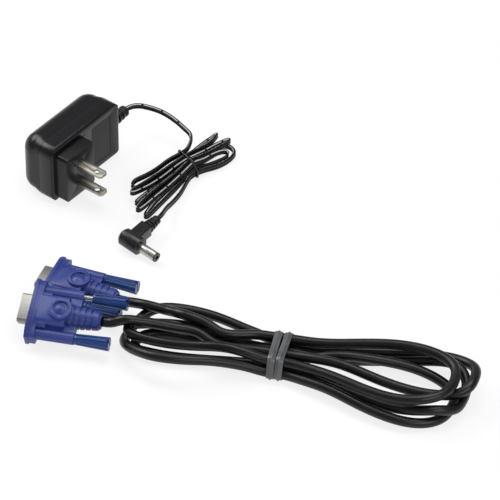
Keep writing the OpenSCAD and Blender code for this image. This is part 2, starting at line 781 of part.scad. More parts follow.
// Display plugs
module at_front() {
    translate([front_x, front_y, front_z]) rotate([front_roll, 0, front_yaw]) children();
}
module at_rear() {
    translate([rear_x, rear_y, rear_z]) rotate([0, 0, rear_yaw]) children();
}
module flange_outline(inset) {
    hw = hood_w / 2 - inset;
    ht = hood_t / 2 - inset;
    polygon([
        [-hw, ht - flange_chamfer_t],
        [flange_chamfer_w - hw, ht],
        [hw - flange_chamfer_w, ht],
        [hw, ht - flange_chamfer_t],
        [hw, flange_chamfer_t - ht],
        [hw - flange_chamfer_w, -ht],
        [flange_chamfer_w - hw, -ht],
        [-hw, flange_chamfer_t - ht]
    ]);
}
module dee_outline(grow) {
    w = dee_w / 2 + grow;
    h = dee_h / 2 + grow;
    polygon([
        [-w, h - dee_r / 2],
        [dee_r / 2 - w, h],
        [w - dee_r / 2, h],
        [w, h - dee_r / 2],
        [w - dee_slope, dee_r / 2 - h],
        [w - dee_slope - dee_r / 2, -h],
        [dee_slope + dee_r / 2 - w, -h],
        [dee_slope - w, dee_r / 2 - h]
    ]);
}
// Extrudes an outline of width by height forward along the plug's axis from x
module run(x, l) {
    translate([x, 0, 0]) rotate([90, 0, 90]) linear_extrude(l) children();
}
module hood_form() {
    difference() {
        union() {
            run(0, flange_lip_l) flange_outline(0);
            run(flange_lip_l - cut_over, flange_l - flange_lip_l + cut_over) flange_outline(flange_step);
            run(flange_l - cut_over, body_l - flange_l + cut_over) round_box(hood_body_w, hood_t, hood_edge_r);
            run(0, shell_t + back_l + back_cover) round_box(back_w + 2 * back_cover, back_h + 2 * back_cover, dee_r);
            for (s = [-1, 1]) {
                translate([flange_l - cut_over, s * screw_pitch / 2, 0]) rotate([0, 90, 0])
                    cylinder(d = tunnel_d, h = hood_l - flange_l + cut_over);
                translate([flange_l - cut_over, s * (screw_pitch + hood_body_w - tunnel_d) / 4 - web_t, -web_t / 2])
                    cube([hood_l - flange_l + cut_over, 2 * web_t, web_t]);
            }
            translate([ring_x, 0, 0]) cylinder(d = ring_d, h = hood_t / 2 + ring_rise);
            boot_form();
        }
        translate([ring_x, 0, hood_t / 2 + ring_rise - ring_recess]) difference() {
            cylinder(d = ring_recess_d, h = ring_recess + cut_over);
            cylinder(d1 = dome_d, d2 = dome_d / 2, h = ring_recess);
        }
        run(-cut_over, cut_over + shell_t) round_box(plate_w + slip_gap, plate_h + slip_gap, dee_r);
        run(0, shell_t + back_l) round_box(back_w, back_h, dee_r / 2);
        for (s = [-1, 1]) translate([0, s * screw_pitch / 2, 0]) rotate([0, 90, 0]) {
            translate([0, 0, -cut_over]) cylinder(d = tunnel_bore, h = hood_l + 2 * cut_over);
            translate([0, 0, chamber_at]) cylinder(d = chamber_d, h = chamber_l);
        }
    }
}
module boot_form() {
    pitch = boot_l / (boot_grooves + boot_end_share);
    translate([body_l, 0, 0]) rotate([0, 90, 0]) {
        difference() {
            cylinder(d1 = boot_root_d, d2 = boot_end_d, h = boot_l - boot_lip_r);
            for (k = [0 : boot_grooves - 1]) translate([0, 0, k * pitch]) difference() {
                cylinder(d = 2 * boot_root_d, h = boot_groove_w);
                translate([0, 0, -k * pitch])
                    cylinder(d1 = boot_root_d - 2 * boot_groove_deep, d2 = boot_end_d - 2 * boot_groove_deep, h = boot_l);
            }
        }
        translate([0, 0, -cut_over]) cylinder(d = boot_end_d - 2 * boot_groove_deep, h = boot_l + cut_over);
        translate([0, 0, boot_l - boot_lip_r]) cylinder(d1 = boot_end_d, d2 = boot_end_d - 2 * boot_lip_r, h = boot_lip_r);
    }
}
module insulator_form() {
    difference() {
        run(0, insulator_l) dee_outline(-shell_t);
        for (p = pin_places) translate([-cut_over, p[0], p[1]]) rotate([0, 90, 0])
            cylinder(d = pin_d, h = insulator_l + 2 * cut_over, $fn = 16);
    }
}
pin_places = [for (r = [-1 : 1]) for (k = [-2 : 2])
    [k * pin_pitch + (r == 0 ? pin_pitch / 4 : -pin_pitch / 4), r * row_pitch]];
module pins_form() {
    for (p = pin_places) translate([-pin_out, p[0], p[1]]) rotate([0, 90, 0])
        cylinder(d = pin_d, h = pin_out + insulator_l + pin_in, $fn = 16);
}
module face_shell_form() {
    difference() {
        union() {
            run(0, shell_t) round_box(plate_w, plate_h, dee_r);
            run(-dee_out, dee_out + shell_t) dee_outline(0);
        }
        run(-dee_out - cut_over, dee_out + shell_t + 2 * cut_over) dee_outline(-shell_t);
        for (s = [-1, 1]) translate([-cut_over, s * screw_pitch / 2, 0]) rotate([0, 90, 0])
            cylinder(d = tunnel_bore, h = shell_t + 2 * cut_over);
    }
}
module back_shell_form() {
    difference() {
        run(shell_t, insulator_l - shell_t) round_box(back_w - slip_gap, back_h - slip_gap, dee_r / 2);
        run(0, insulator_l + cut_over) dee_outline(0);
    }
}
// Thumb screw pieces at a drawn-back distance
module on_screw(side, back) {
    translate([back, side * screw_pitch / 2, 0]) rotate([0, 90, 0]) children();
}
module clip_form() {
    translate([0, 0, chamber_at + clip_gap]) difference() {
        cylinder(d = clip_d, h = clip_t);
        translate([0, 0, -cut_over]) cylinder(d = screw_d + 2 * spin_gap, h = clip_t + 2 * cut_over);
    }
}
module jackscrew_form() {
    translate([0, 0, tip_at]) cylinder(d = screw_d, h = hood_l + grip_gap - tip_at + grip_l / 2);
}
module grip_form() {
    flare = atan((grip_d - grip_root_d) / 2 / grip_l);
    translate([0, 0, hood_l + grip_gap]) difference() {
        cylinder(d1 = grip_root_d, d2 = grip_d, h = grip_l);
        for (k = [0 : grip_flutes - 1]) rotate(360 * (k + 0.5) / grip_flutes)
            translate([grip_root_d / 2 - flute_deep, 0, 0]) rotate([0, flare, 0])
                translate([0, -flute_w / 2, grip_neck]) cube([grip_d, flute_w, 2 * grip_l]);
        translate([0, 0, -cut_over]) cylinder(d = screw_d, h = grip_l / 2 + cut_over);
        translate([-grip_d, -slot_w / 2, grip_l - slot_deep]) cube([2 * grip_d, slot_w, 2 * slot_deep]);
    }
}

module front_hood() { color(c_hood) at_front() hood_form(); }
module front_insulator() { color(c_blue) at_front() insulator_form(); }
module front_face_shell() { color(c_metal) at_front() face_shell_form(); }
module front_back_shell() { color(c_metal) at_front() back_shell_form(); }
module front_pins() { color(c_metal) at_front() pins_form(); }
module front_upper_clip() { color(c_metal) at_front() on_screw(1, screw_play) clip_form(); }
module front_upper_jackscrew() { color(c_metal) at_front() on_screw(1, screw_play) jackscrew_form(); }
module front_upper_grip() { color(c_grip) at_front() on_screw(1, screw_play) grip_form(); }
module front_lower_clip() { color(c_metal) at_front() on_screw(-1, 0) clip_form(); }
module front_lower_jackscrew() { color(c_metal) at_front() on_screw(-1, 0) jackscrew_form(); }
module front_lower_grip() { color(c_grip) at_front() on_screw(-1, 0) grip_form(); }

module rear_hood() { color(c_hood) at_rear() hood_form(); }
module rear_insulator() { color(c_blue) at_rear() insulator_form(); }
module rear_face_shell() { color(c_metal) at_rear() face_shell_form(); }
module rear_back_shell() { color(c_metal) at_rear() back_shell_form(); }
module rear_pins() { color(c_metal) at_rear() pins_form(); }
module rear_upper_clip() { color(c_metal) at_rear() on_screw(1, 0) clip_form(); }
module rear_upper_jackscrew() { color(c_metal) at_rear() on_screw(1, 0) jackscrew_form(); }
module rear_upper_grip() { color(c_grip) at_rear() on_screw(1, 0) grip_form(); }
module rear_lower_clip() { color(c_metal) at_rear() on_screw(-1, 0) clip_form(); }
module rear_lower_jackscrew() { color(c_metal) at_rear() on_screw(-1, 0) jackscrew_form(); }
module rear_lower_grip() { color(c_grip) at_rear() on_screw(-1, 0) grip_form(); }

// Display cable
module cable_front_lead() {
    color(c_black) tube(along(front_lead_route, 2), cable_d, cable_d, 8);
}
module cable_rear_lead() {
    color(c_black) tube(along(rear_lead_route, 2), cable_d, cable_d, 8);
}
module cable_hank() {
    color(c_black) tube(hank_points(fold_rings), cable_d, cable_d, 6);
}
module cable_tie() {
    color(c_tie) translate([waist_x, waist_y, 0]) rotate([0, 0, waist_turn])
        for (s = [-1, 1]) translate([s * (tie_w + tie_apart) / 2, 0, 0])
            band(tie_in_w, tie_in_h, tie_t, tie_w, cable_d / 3);
}

union() {
    echo(display_hank_least_gap = hank_gap(hank_points(fold_rings), 3));
    echo(dc_hank_least_gap = dc_hank_gap(dc_hank_points(2 * fold_rings), 9));
    echo(display_cable_length = length_of(hank_points(48)) + length_of(along(front_lead_route, 8))
        + length_of(along(rear_lead_route, 8)));
    echo(dc_lead_length = length_of(dc_hank_points(48)) + length_of(along(dc_lead_route, 8))
        + length_of(along(dc_tail_route, 8)));
}

adapter_rear_shell();
adapter_front_shell();
rating_label();
mains_blades();
blade_retainer();
circuit_board();
transformer_core();
transformer_winding();
input_capacitors();
output_capacitor();
rectifier_bridge();
fusible_resistor();
switching_transistor();
choke();
lead_strain_relief();
dc_lead();
dc_hank();
dc_lead_tail();
dc_tie();
dc_plug_grip();
dc_plug_barrel();
dc_plug_insulator();
dc_plug_contact();
front_hood();
front_insulator();
front_face_shell();
front_back_shell();
front_pins();
front_upper_clip();
front_upper_jackscrew();
front_upper_grip();
front_lower_clip();
front_lower_jackscrew();
front_lower_grip();
rear_hood();
rear_insulator();
rear_face_shell();
rear_back_shell();
rear_pins();
rear_upper_clip();
rear_upper_jackscrew();
rear_upper_grip();
rear_lower_clip();
rear_lower_jackscrew();
rear_lower_grip();
cable_front_lead();
cable_rear_lead();
cable_hank();
cable_tie();
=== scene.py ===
"""Looks of a mains adapter with its tied DC lead, and of a display cable in a tied hank, on a pale table.

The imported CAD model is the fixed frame. Lengths are in metres, and values that repeat the CAD source are
written in millimetres and multiplied by MM.
"""

import json
import math

import bmesh
import bpy
import numpy as np
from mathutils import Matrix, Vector

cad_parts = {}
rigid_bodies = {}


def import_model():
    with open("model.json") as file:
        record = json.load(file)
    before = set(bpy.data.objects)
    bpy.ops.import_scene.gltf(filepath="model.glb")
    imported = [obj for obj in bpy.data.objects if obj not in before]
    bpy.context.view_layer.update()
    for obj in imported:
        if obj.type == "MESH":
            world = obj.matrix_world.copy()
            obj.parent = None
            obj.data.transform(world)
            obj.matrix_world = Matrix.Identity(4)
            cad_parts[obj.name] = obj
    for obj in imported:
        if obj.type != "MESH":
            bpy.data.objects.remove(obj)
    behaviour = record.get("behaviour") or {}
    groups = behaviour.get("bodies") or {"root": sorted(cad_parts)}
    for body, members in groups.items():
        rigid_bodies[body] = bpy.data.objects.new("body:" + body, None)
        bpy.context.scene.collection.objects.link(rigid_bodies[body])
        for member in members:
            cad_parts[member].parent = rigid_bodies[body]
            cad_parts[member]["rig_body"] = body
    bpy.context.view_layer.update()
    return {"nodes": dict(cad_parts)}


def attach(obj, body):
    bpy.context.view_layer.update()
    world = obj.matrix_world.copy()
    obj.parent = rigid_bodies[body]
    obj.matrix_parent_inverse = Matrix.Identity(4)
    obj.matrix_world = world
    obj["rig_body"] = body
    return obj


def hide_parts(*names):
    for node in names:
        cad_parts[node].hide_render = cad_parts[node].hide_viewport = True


MM = 0.001

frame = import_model()


# ---------------------------------------------------------------- camera and lamps


def look(location, target):
    """The rotation of a camera or lamp at location that looks at target."""
    return (Vector(target) - Vector(location)).to_track_quat("-Z", "Y").to_euler()


def place_camera():
    # The view of the photograph: 41 degrees down, from far away with a long lens, 271.7 mm across the frame.
    target = Vector((99.5, -68.1, 0)) * MM
    elevation, distance, width = math.radians(41), 2.7, 271.7 * MM
    data = bpy.data.cameras.new("camera")
    data.lens = data.sensor_width * distance / width
    data.clip_start, data.clip_end = 0.05, 50
    camera = bpy.data.objects.new("camera", data)
    bpy.context.scene.collection.objects.link(camera)
    camera.location = target + distance * Vector((0, -math.cos(elevation), math.sin(elevation)))
    camera.rotation_euler = look(camera.location, target)
    bpy.context.scene.camera = camera


def place_lamp(name, location, size, power, target=(0.1, -0.07, 0)):
    data = bpy.data.lights.new(name, "AREA")
    data.shape, data.size, data.size_y, data.energy = "RECTANGLE", size[0], size[1], power
    lamp = bpy.data.objects.new(name, data)
    bpy.context.scene.collection.objects.link(lamp)
    lamp.location = location
    lamp.rotation_euler = look(location, target)


place_camera()
place_lamp("window_box", (-0.75, 0.55, 0.95), (0.75, 0.75), 11)
place_lamp("overhead_box", (0.25, 0.1, 1.2), (1.0, 0.6), 8)
place_lamp("front_fill", (0.6, -1.0, 0.7), (0.8, 0.5), 5)


# ---------------------------------------------------------------- cords: the routes of the CAD source


def ease(t):
    c = min(max(t, 0.0), 1.0)
    return c * c * (3 - 2 * c)


def turned(x, y, degrees):
    a = math.radians(degrees)
    return x * math.cos(a) - y * math.sin(a), x * math.sin(a) + y * math.cos(a)


def power_wave(c, p):
    return math.copysign(abs(c) ** p, c)


def spline(a, b, c, d, t):
    return (2 * b + (c - a) * t + (2 * a - 5 * b + 4 * c - d) * t * t + (3 * b - a - 3 * c + d) * t**3) / 2


def along(points, steps):
    """A free cord: straight at both ends, a spline between them."""
    p = [np.array(q, float) for q in points]
    inner = [
        spline(p[i - 1], p[i], p[i + 1], p[i + 2], k / steps) for i in range(1, len(p) - 2) for k in range(steps)
    ]
    return [p[0], *inner, p[-2], p[-1]]


# The display cable's hank: diameter, tie, waist and the places of its eight runs there (row, place in the row).
CABLE_D = 5.5
TIE_T = 1.0
WAIST, WAIST_TURN = (115.3, -159.7), -12
WAIST_PITCH, WAIST_RISE, WAIST_LOW = CABLE_D + 0.7, CABLE_D + 0.3, CABLE_D / 2 + TIE_T + 0.3
WAIST_SLOTS = [(1, 1), (1, -2), (0, 1), (0, -1), (0, 0), (0, -2), (0, 2), (1, -1)]
# Where the front plug's lower grip comes close to a fold when drawn out, how far around, and the room made (mm).
GRIP_ROOM, GRIP_ROOM_R, GRIP_PUSH = (33, -152.7, 8), 12, (0.22, -0.05, 0)
# reach, middle, half width of the first and second run, tilt, gather
FOLD_SIZES = [
    (96.2, -7.2, 25.2, 28.7, -14.5, 0.98),
    (82.5, 0.8, 6.9, 13.7, -9.1, 0.66),
    (102, 2, 35, 31.4, -21.6, 1.25),
    (78.2, -2.3, 11.4, 19.8, -10.2, 1.24),
    (97.1, -1.6, 22.1, 31.9, -20.3, 1.03),
    (82.2, -11.5, 30.3, 30.3, -24, 0.76),
    (105.5, 3.7, 31.1, 18.1, -18.6, 1.17)
]
# height of the middle of the cable every thirty degrees of a fold
FOLD_HEIGHTS = [
    (9.1, 15, 16.9, 17, 17, 14.5, 12.2),
    (17.1, 10.8, 11.1, 12.1, 9.7, 7.8, 2.1),
    (2.8, 6, 12.2, 6.3, 10.9, 5.6, 2.8),
    (3.8, 4.3, 4.9, 2.8, 3, 3.1, 5.2),
    (13.6, 9, 3.8, 2.8, 3.4, 5.9, 7.9),
    (10.3, 15.6, 9.6, 2.8, 6.4, 4.5, 2.9),
    (2.8, 6.4, 10.4, 14.9, 11.1, 10.7, 17)
]
FOLD_POWER = 0.7
SETTLE_SHARE = 0.4
HANK_OUT, HOLD_OUT = 9, 5


def slot_of(run):
    row, place = WAIST_SLOTS[run]
    return place * WAIST_PITCH + row * WAIST_PITCH / 2, WAIST_LOW + row * WAIST_RISE


def height_at(table, angle):
    n = len(table) - 1
    x = angle * n / 180
    i = min(int(x), n - 1)
    return spline(table[max(i - 1, 0)], table[i], table[i + 1], table[min(i + 2, n)], x - i)


def slot_point(run, beside):
    across, z = slot_of(run)
    x, y = turned(beside, across, WAIST_TURN)
    return np.array((WAIST[0] + x, WAIST[1] + y, z))


def fold_point(j, angle):
    """A point of one fold of the display cable's hank, from run j at 0 degrees to run j + 1 at 180."""
    reach, middle, half_1, half_2, tilt, gather = FOLD_SIZES[j]
    s = max(math.sin(math.radians(angle)), 0) ** FOLD_POWER
    w = power_wave(math.cos(math.radians(angle)), FOLD_POWER)
    opened, settled = ease(s / gather), ease(s / SETTLE_SHARE)
    across, z = slot_of(j if angle <= 90 else j + 1)
    side = 1 if j % 2 == 0 else -1
    lx, ly = turned(side * reach * s, opened * (middle + side * (half_1 if angle <= 90 else half_2) * w), tilt)
    gx, gy = turned(0, (1 - opened) * across, WAIST_TURN)
    return np.array(
        (WAIST[0] + lx + gx, WAIST[1] + ly + gy, (1 - settled) * z + settled * height_at(FOLD_HEIGHTS[j], angle))
    )


def hank_points(n):
    points = [slot_point(0, -HANK_OUT)]
    for j in range(7):
        side = 1 if j % 2 == 0 else -1
        points.append(slot_point(j, side * HOLD_OUT))
        points += [fold_point(j, 180 * k / n) for k in range(1, n)]
        points.append(slot_point(j + 1, side * HOLD_OUT))
    return [*points, slot_point(7, -HANK_OUT)]


HOOD_W, HOOD_T = 35, 14
FLANGE_CHAMFER_W, FLANGE_CHAMFER_T = 4.5, 2.75
BODY_L, BOOT_L = 20.3, 18.2
BOOT_END = BODY_L + BOOT_L
FRONT_YAW, FRONT_ROLL, FRONT_LIFT = -12.67, 22, 2.1
REAR_YAW = -21.1
ROLL = math.radians(FRONT_ROLL)
FRONT_AT = (
    -16.7,
    -133.05,
    FRONT_LIFT
    + max(
        HOOD_W / 2 * math.sin(ROLL) + (HOOD_T / 2 - FLANGE_CHAMFER_T) * math.cos(ROLL),
        (HOOD_W / 2 - FLANGE_CHAMFER_W) * math.sin(ROLL) + HOOD_T / 2 * math.cos(ROLL),
    ),
)
REAR_AT = (-7.7, -102.5, HOOD_T / 2)


def in_front(x):
    dx, dy = turned(x, 0, FRONT_YAW)
    return np.array((FRONT_AT[0] + dx, FRONT_AT[1] + dy, FRONT_AT[2]))


def in_rear(x):
    dx, dy = turned(x, 0, REAR_YAW)
    return np.array((REAR_AT[0] + dx, REAR_AT[1] + dy, REAR_AT[2]))


FRONT_LEAD_ROUTE = [
    in_front(BOOT_END),
    in_front(BOOT_END + CABLE_D),
    (32.6, -144.9, 18),
    (44.7, -144.2, 15.5),
    (57.9, -144.5, 12.5),
    (71.6, -145.8, 10.1),
    (82.6, -154.2, 8.4),
    slot_point(7, -HANK_OUT - CABLE_D),
    slot_point(7, -HANK_OUT),
]
REAR_LEAD_ROUTE = [
    in_rear(BOOT_END),
    in_rear(BOOT_END + CABLE_D),
    (42.9, -125.4, 11.4),
    (55.5, -129.4, 10.6),
    (63.8, -136.6, 14.3),
    (75.6, -141.5, 13),
    (86.1, -149.4, 11.7),
    slot_point(0, -HANK_OUT - CABLE_D),
    slot_point(0, -HANK_OUT),
]

# The DC lead: thickness and width, its hank's waist, the layer and place of each run, and its folds.
DC_T, DC_W = 1.8, 3.5
DC_WAIST, DC_TURN = (65.3, -1.1), 42.9
DC_PITCH, DC_RISE, DC_LOW = DC_T + 0.6, DC_W + 0.5, DC_W / 2 + 1.1 + 0.2
DC_RUNS = [(1, 0.5), (0, 1), (1, 2), (1, 3), (1, 4), (1, 5), (0, 5), (0, 4), (0, 3), (0, 2), (0, 6.6)]
# reach, middle, half width, tilt, first layer, second layer, side of the first run
DC_FOLDS = [
    (35.5, 0, 2, -13, 1, 0, 1),
    (30, 2.4, 3.4, 12, 0, 1, 1),
    (41, 0, 2, -3, 1, 1, 1),
    (30.5, 0.6, 1.7, -4, 1, 1, 1),
    (49.5, 0, 2, 13, 1, 1, 1),
    (24, -1.95, 1.6, -13.5, 1, 0, 1),
    (48, 0, 2, 18, 0, 0, -1),
    (23, 0.8, 1.6, -2.5, 0, 0, -1),
    (42, 0, 2, 4, 0, 0, -1),
    (29.5, -0.7, 8.6, -7, 0, 0, 1)
]
DC_GATHER_SHARE, DC_SETTLE_SHARE, DC_HANK_OUT = 0.8, 0.5, 2
PLUG_AT, PLUG_YAW, PLUG_TILT = (35.1, -67.2, 5.75), -40.5, 5
PLUG_GRIP_L, PLUG_RELIEF_L = 12.3, 9
PLUG_BACK = PLUG_GRIP_L + PLUG_RELIEF_L
ADAPTER_TURN = 51.3
OUT_X, OUT_Y, OUT_Z, OUT_L = 29, -3, 15.5, 15


def dc_slot(run):
    layer, place = DC_RUNS[run]
    return (3.5 - place) * DC_PITCH, DC_LOW + layer * DC_RISE


def dc_slot_point(run, beside):
    across, z = dc_slot(run)
    x, y = turned(beside, across, DC_TURN)
    return np.array((DC_WAIST[0] + x, DC_WAIST[1] + y, z))


def dc_fold_point(j, angle):
    reach, middle, half, tilt, layer_1, layer_2, first = DC_FOLDS[j]
    s = max(math.sin(math.radians(angle)), 0) ** FOLD_POWER
    w = power_wave(math.cos(math.radians(angle)), FOLD_POWER)
    opened, settled = ease(s / DC_GATHER_SHARE), ease(s / DC_SETTLE_SHARE)
    across, z = dc_slot(j if angle <= 90 else j + 1)
    side = -1 if j % 2 == 0 else 1
    level = DC_W / 2 + DC_RISE * (layer_1 + (layer_2 - layer_1) * ease((angle - 60) / 60))
    lx, ly = turned(side * reach * s, opened * (middle + first * half * w), DC_TURN + tilt)
    gx, gy = turned(0, (1 - opened) * across, DC_TURN)
    return np.array((DC_WAIST[0] + lx + gx, DC_WAIST[1] + ly + gy, (1 - settled) * z + settled * level))


def dc_hank_points(n):
    folds = [dc_fold_point(j, 180 * k / n) for j in range(10) for k in range(n)]
    return [dc_slot_point(0, DC_HANK_OUT), *folds, dc_fold_point(9, 180), dc_slot_point(10, -DC_HANK_OUT)]


def on_adapter(x, y, z):
    return np.array((*turned(x, y, ADAPTER_TURN), z))


def on_plug(y):
    yaw, tilt = math.radians(PLUG_YAW), math.radians(PLUG_TILT)
    return np.array(PLUG_AT) + y * np.array(
        (-math.cos(tilt) * math.sin(yaw), math.cos(tilt) * math.cos(yaw), math.sin(tilt))
    )


DC_LEAD_ROUTE = [
    on_adapter(OUT_X + OUT_L, OUT_Y, OUT_Z),
    on_adapter(OUT_X + OUT_L + DC_W, OUT_Y, OUT_Z),
    (37.5, 36, 16),
    (44, 34, 16),
    (50.5, 31, 15.5),
    (57, 26, 14.5),
    (62.5, 20.5, 13),
    (67, 15.5, 10.5),
    dc_slot_point(0, DC_HANK_OUT + DC_W),
    dc_slot_point(0, DC_HANK_OUT),
]
DC_TAIL_ROUTE = [
    dc_slot_point(10, -DC_HANK_OUT),
    dc_slot_point(10, -DC_HANK_OUT - DC_W),
    (64.5, -14.5, 2.6),
    (61, -24, 2.5),
    (57, -32.5, 3.5),
    (53.6, -40, 5.5),
    on_plug(PLUG_BACK + DC_W),
    on_plug(PLUG_BACK),
]


def joined(*parts):
    """Several stretches of one cord as one list of points in metres, each shared end kept once."""
    points = list(parts[0])
    for part in parts[1:]:
        points += list(part)[1:]
    return np.array(points) * MM


def evenly(path, step):
    """The same path with its points a step apart, on a spline through the given ones."""
    dense = [path[0]]
    for i in range(len(path) - 1):
        a, d = path[max(i - 1, 0)], path[min(i + 2, len(path) - 1)]
        dense += [spline(a, path[i], path[i + 1], d, k / 6) for k in range(1, 7)]
    dense = np.array(dense)
    run = np.r_[0, np.cumsum(np.linalg.norm(np.diff(dense, axis=0), axis=1))]
    marks = np.linspace(0, run[-1], int(run[-1] / step) + 1)
    return np.stack([np.interp(marks, run, dense[:, k]) for k in range(3)], axis=1)


def softly(path, rounds):
    """The path with its small kinks eased, its ends kept."""
    path = path.copy()
    for _ in range(rounds):
        path[2:-2] = (path[1:-3] + 2 * path[2:-2] + path[3:-1]) / 4
    return path


def with_room(path):
    """The path moved a little aside where the front plug's lower grip comes out against it."""
    path = path.copy()
    for number, point in enumerate(path):
        near = np.linalg.norm(point - np.array(GRIP_ROOM) * MM) / (GRIP_ROOM_R * MM)
        if near < 1:
            path[number] = point + np.array(GRIP_PUSH) * MM * (1 - near * near)
    return path


def smooth_piece(name, mesh):
    """An object of a mesh, with its faces turned outwards and shaded smooth."""
    form = bmesh.new()
    form.from_mesh(mesh)
    bmesh.ops.recalc_face_normals(form, faces=form.faces)
    form.to_mesh(mesh)
    form.free()
    piece = bpy.data.objects.new(name, mesh)
    bpy.context.scene.collection.objects.link(piece)
    mesh.shade_smooth()
    return piece


def swept(name, path, outline):
    """A mesh of an outline carried along a path, its second axis kept as upright as the path allows.

    UV: once round the outline, and the length along the path in metres.
    """
    n, m = len(path), len(outline)
    forward = np.gradient(path, axis=0)
    forward /= np.linalg.norm(forward, axis=1)[:, None]
    side = np.cross(forward, [0, 0, 1])
    side /= np.linalg.norm(side, axis=1)[:, None]
    up = np.cross(side, forward)
    ring = np.array(outline)
    points = path[:, None] + side[:, None] * ring[None, :, :1] + up[:, None] * ring[None, :, 1:]
    faces = []
    for i in range(n - 1):
        a, b = i * m, (i + 1) * m
        faces += [(a + k, a + (k + 1) % m, b + (k + 1) % m, b + k) for k in range(m)]
    faces += [tuple(range(m))[::-1], tuple((n - 1) * m + k for k in range(m))]
    mesh = bpy.data.meshes.new(name)
    mesh.from_pydata(points.reshape(-1, 3).tolist(), [], faces)
    run = np.r_[0, np.cumsum(np.linalg.norm(np.diff(path, axis=0), axis=1))]
    uv = mesh.uv_layers.new(name="around_and_along")
    corner = 0
    for face in mesh.polygons:
        row = face.index // m
        for c, v in enumerate(face.vertices):
            u = ((face.index % m) + (1 if c in (1, 2) else 0)) / m
            along_it = run[min(row + (1 if c >= 2 else 0), n - 1)]
            uv.data[corner].uv = (u, along_it)
            corner += 1
    return smooth_piece(name, mesh)


def round_outline(diameter, sides=20):
    turns = [math.tau * k / sides for k in range(sides)]
    return [(diameter / 2 * math.cos(a), diameter / 2 * math.sin(a)) for a in turns]


# The twin lead's section: where a wire's round starts and how far it goes (degrees), its points, half the web.
LOBE_FROM, LOBE_SPAN, LOBE_POINTS, WEB_HALF = -35, 250, 10, 0.32


def twin_outline():
    """Two insulated wires side by side, joined by a thin web, in a figure of eight."""
    r, middle = DC_T / 2, (DC_W - DC_T) / 2
    lobe = [math.radians(LOBE_FROM + LOBE_SPAN * k / (LOBE_POINTS - 1)) for k in range(LOBE_POINTS)]
    upper = [(r * math.cos(a), middle + r * math.sin(a)) for a in lobe]
    lower = [(-x, -y) for x, y in upper]
    return [(x * MM, y * MM) for x, y in [*upper, (-WEB_HALF, 0), *lower, (WEB_HALF, 0)]]


# Steps of a spline stretch, steps of a fold, the spacing along each cord (mm) and the rounds of easing.
FREE_STEPS, FOLD_STEPS, DC_FOLD_STEPS, CABLE_STEP, DC_STEP, EASING = 8, 36, 30, 2.5, 1.4, 2
cable_parts = (along(REAR_LEAD_ROUTE, FREE_STEPS), hank_points(FOLD_STEPS), along(FRONT_LEAD_ROUTE, FREE_STEPS)[::-1])
cable_path = with_room(softly(evenly(joined(*cable_parts), CABLE_STEP * MM), EASING))
display_cable = swept("display_cable", cable_path, round_outline(CABLE_D * MM))
dc_parts = (along(DC_LEAD_ROUTE, FREE_STEPS), dc_hank_points(DC_FOLD_STEPS), along(DC_TAIL_ROUTE, FREE_STEPS))
dc_path = softly(evenly(joined(*dc_parts), DC_STEP * MM), EASING)
dc_cord = swept("dc_twin_lead", dc_path, twin_outline())


# ---------------------------------------------------------------- pieces


def alone(piece):
    """Only this piece is selected and active."""
    bpy.ops.object.select_all(action="DESELECT")
    piece.select_set(True)
    bpy.context.view_layer.objects.active = piece


def apply_all(piece):
    alone(piece)
    for modifier in list(piece.modifiers):
        bpy.ops.object.modifier_apply(modifier=modifier.name)


def softened(node, name, radius, angle=35, segments=2):
    """A copy of a CAD node with its sharp edges rounded, which then stands for the node."""
    source = frame["nodes"][node]
    piece = bpy.data.objects.new(name, source.data.copy())
    piece.data.name = name
    bpy.context.scene.collection.objects.link(piece)
    alone(piece)
    bpy.ops.object.mode_set(mode="EDIT")
    bpy.ops.mesh.select_all(action="SELECT")
    bpy.ops.mesh.remove_doubles(threshold=0.01 * MM)
    bpy.ops.mesh.dissolve_limited(angle_limit=math.radians(1))
    bpy.ops.object.mode_set(mode="OBJECT")
    bevel = piece.modifiers.new("rounded_edges", "BEVEL")
    bevel.width, bevel.segments, bevel.limit_method = radius, segments, "ANGLE"
    bevel.angle_limit = math.radians(angle)
    bevel.miter_outer = "MITER_ARC"
    apply_all(piece)
    bpy.ops.object.shade_smooth_by_angle(angle=math.radians(angle))
    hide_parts(node)
    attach(piece, source["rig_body"])
    return piece


# The rear shell, mm: case size, seam and back, corner radii, wall, the lead's hole (x, y, z, diameter), grid.
CASE_L, CASE_H, CASE_WALL, CASE_SEAM, CASE_BACK = 58, 37, 2, -3, 12
CASE_CORNER_R, CASE_BACK_R, CASE_RIM_R, CASE_CUTS = 6.5, 9, 0.25, 48
LEAD_HOLE, LEAD_HOLE_SIDES = (29, -3, 15.5, 6.5), 48


def rounded_case_point(x, y, z):
    """A point of the case's box, centred in height, moved onto its round corners."""
    opening = ease((y - CASE_SEAM) / (CASE_BACK - CASE_BACK_R - CASE_SEAM))
    radius = CASE_CORNER_R + (CASE_BACK_R - CASE_CORNER_R) * opening
    core_x = np.clip(x, radius - CASE_L / 2, CASE_L / 2 - radius)
    core_z = np.clip(z, radius - CASE_H / 2, CASE_H / 2 - radius)
    core = np.array((core_x, min(y, CASE_BACK - CASE_BACK_R), core_z))
    out = np.array((x, y, z)) - core
    in_corner = np.count_nonzero(abs(out) > 1e-6) > 1
    return core + out * (radius / np.linalg.norm(out) if in_corner else 1)


def lead_drill():
    """A cylinder where the lead leaves the case."""
    x, y = turned(LEAD_HOLE[0], LEAD_HOLE[1], ADAPTER_TURN)
    bpy.ops.mesh.primitive_cylinder_add(
        vertices=LEAD_HOLE_SIDES,
        radius=LEAD_HOLE[3] / 2 * MM,
        depth=4 * CASE_WALL * MM,
        location=(x * MM, y * MM, LEAD_HOLE[2] * MM),
        rotation=(0, math.pi / 2, math.radians(ADAPTER_TURN)),
    )
    return bpy.context.active_object


